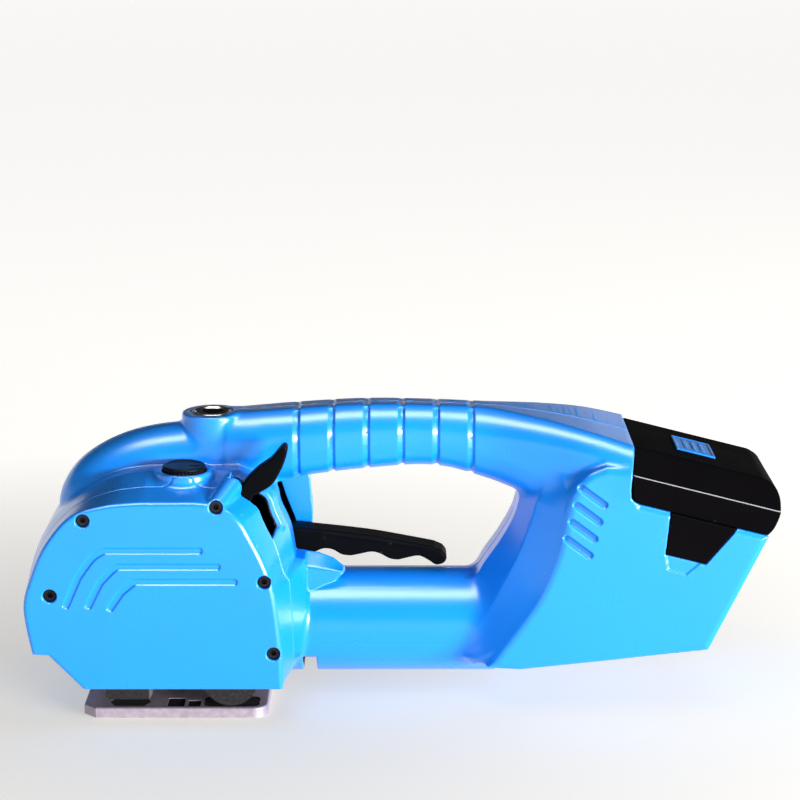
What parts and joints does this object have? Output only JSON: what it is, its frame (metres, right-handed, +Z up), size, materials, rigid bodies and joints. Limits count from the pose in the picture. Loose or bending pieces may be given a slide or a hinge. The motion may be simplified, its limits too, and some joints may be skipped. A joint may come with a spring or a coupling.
{
  "type": "battery strapping tool",
  "caption": "Hand-held battery tool that tensions and friction-welds plastic strap: head over a hinged foot, bowed handle, squeeze lever, lift-out battery.",
  "frame": {"origin": "on the underside of the foot plate, at the middle of its length and on the handle's mid plane", "axes": "+X from the head towards the battery, +Y away from the open strap side, +Z up from the foot's underside"},
  "size_m": [0.3484, 0.098, 0.1402],
  "materials": {
    "blue_abs": "semi-gloss moulded",
    "black_nylon": "satin moulded",
    "black_grip": "satin moulded",
    "badge_blue": "gloss inlay",
    "dial_black": "matt",
    "cast_aluminium": "sand-cast",
    "foot_steel": "ground, nickel plated",
    "dark_steel": "hardened, blackened",
    "gear_steel": "machined, oiled",
    "shaft_steel": "ground",
    "spring_steel": "drawn wire",
    "bearing_steel": "ground",
    "screw_black": "black oxide",
    "motor_steel": "zinc plated",
    "rotor_steel": "laminations and enamelled wire",
    "belt_rubber": "moulded",
    "chrome_trim": "polished",
    "switch_black": "moulded",
    "board_green": "solder resist",
    "cell_wrap": "shrink wrap",
    "lead_red": "insulated wire"
  },
  "bodies": {
    "tool_body": {"housing_near": "blue_abs", "housing_far": "blue_abs", "head_cover_near": "blue_abs", "head_cover_far": "blue_abs", "cover_screws_near": "screw_black", "cover_screws_far": "screw_black", "housing_screws": "screw_black", "head_frame": "cast_aluminium", "shaft_bearings": "bearing_steel", "foot_pin": "shaft_steel", "lift_lever_pin": "shaft_steel", "weld_lever_pin": "shaft_steel", "motor_can": "motor_steel", "motor_leads": "lead_red", "control_board": "board_green", "terminal_block": "switch_black", "button_bezel": "chrome_trim", "tension_switch": "switch_black", "dial_potentiometer": "switch_black", "drive_belt": "belt_rubber", "rod_spring": "spring_steel"},
    "motor_rotor": {"motor_rotor": "rotor_steel", "bevel_pinion": "gear_steel"},
    "drive_line": {"drive_shaft": "shaft_steel", "bevel_gear": "gear_steel", "spur_pinion": "gear_steel", "drive_pulley": "gear_steel"},
    "wheel_line": {"wheel_shaft": "shaft_steel", "wheel_gear": "gear_steel", "tension_wheel": "dark_steel"},
    "eccentric_line": {"eccentric_shaft": "shaft_steel", "eccentric_pulley": "gear_steel"},
    "foot": {"foot": "foot_steel", "lower_jaw": "dark_steel", "anvil": "dark_steel"},
    "lift_lever": {"lift_lever": "black_grip", "lift_roller": "bearing_steel"},
    "lift_rod": {"lift_rod": "shaft_steel"},
    "weld_lever": {"weld_lever": "black_grip", "weld_roller": "bearing_steel"},
    "weld_ram": {"weld_ram": "gear_steel", "upper_jaw": "dark_steel", "strap_cutter": "dark_steel"},
    "tension_button": {"tension_button": "black_nylon"},
    "tension_dial": {"tension_dial": "dial_black"},
    "battery": {"battery_case": "black_nylon", "battery_badge": "badge_blue", "battery_cells": "cell_wrap", "battery_board": "board_green"},
    "latch_near": {"latch_near": "black_nylon"},
    "latch_far": {"latch_far": "black_nylon"}
  },
  "joints": [
    {"name": "rotor_spin", "type": "hinge", "parent": "tool_body", "child": "motor_rotor", "pos_m": [0.09, 0, 0.034], "axis": [1, 0, 0], "continuous": true},
    {"name": "drive_spin", "type": "hinge", "parent": "tool_body", "child": "drive_line", "pos_m": [0.0358, 0, 0.034], "axis": [0, 1, 0], "continuous": true},
    {"name": "wheel_spin", "type": "hinge", "parent": "tool_body", "child": "wheel_line", "pos_m": [0.026, 0, 0.0189], "axis": [0, 1, 0], "continuous": true},
    {"name": "eccentric_spin", "type": "hinge", "parent": "tool_body", "child": "eccentric_line", "pos_m": [-0.022, 0, 0.034], "axis": [0, 1, 0], "continuous": true},
    {"name": "lift_squeeze", "type": "hinge", "parent": "tool_body", "child": "lift_lever", "pos_m": [0.008, 0, 0.075], "axis": [0, -1, 0], "range_deg": [0, 13], "stiffness_Nm_per_rad": 4, "springref_deg": -14.32},
    {"name": "rod_slide", "type": "slide", "parent": "tool_body", "child": "lift_rod", "axis": [0, 0, -1], "range_m": [0, 0.00272], "deforming": ["rod_spring"]},
    {"name": "foot_hinge", "type": "hinge", "parent": "tool_body", "child": "foot", "pos_m": [-0.033, 0, 0.022], "axis": [0, 1, 0], "range_deg": [0, 5.38]},
    {"name": "weld_press", "type": "hinge", "parent": "tool_body", "child": "weld_lever", "pos_m": [-0.036, 0, 0.07], "axis": [0, 1, 0], "range_deg": [0, 12], "stiffness_Nm_per_rad": 1.5, "springref_deg": -17.19},
    {"name": "ram_slide", "type": "slide", "parent": "tool_body", "child": "weld_ram", "axis": [0, 0, -1], "range_m": [0, 0.00293]},
    {"name": "button_push", "type": "slide", "parent": "tool_body", "child": "tension_button", "axis": [0, 0, -1], "range_m": [0, 0.003], "stiffness_N_per_m": 600, "springref_m": -0.001},
    {"name": "dial_turn", "type": "hinge", "parent": "tool_body", "child": "tension_dial", "pos_m": [0.0055, -0.0262, 0.1146], "axis": [0, 0, -1], "range_deg": [0, 270]},
    {"name": "battery_lift", "type": "slide", "parent": "tool_body", "child": "battery", "axis": [0.2453, 0, 0.9694], "range_m": [0, 0.06]},
    {"name": "latch_near_press", "type": "slide", "parent": "battery", "child": "latch_near", "axis": [0, 1, 0], "range_m": [0, 0.0016], "stiffness_N_per_m": 800, "springref_m": -0.001},
    {"name": "latch_far_press", "type": "slide", "parent": "battery", "child": "latch_far", "axis": [0, -1, 0], "range_m": [0, 0.0016], "stiffness_N_per_m": 800, "springref_m": -0.001}
  ],
  "couplings": [
    {"joint": "drive_spin", "follows": "rotor_spin", "ratio": -0.4},
    {"joint": "wheel_spin", "follows": "rotor_spin", "ratio": 0.2},
    {"joint": "eccentric_spin", "follows": "rotor_spin", "ratio": -0.8},
    {"joint": "rod_slide", "follows": "lift_squeeze", "m_per_rad": 0.011974},
    {"joint": "foot_hinge", "follows": "lift_squeeze", "ratio": 0.41291},
    {"joint": "ram_slide", "follows": "weld_press", "m_per_rad": 0.013974}
  ]
}
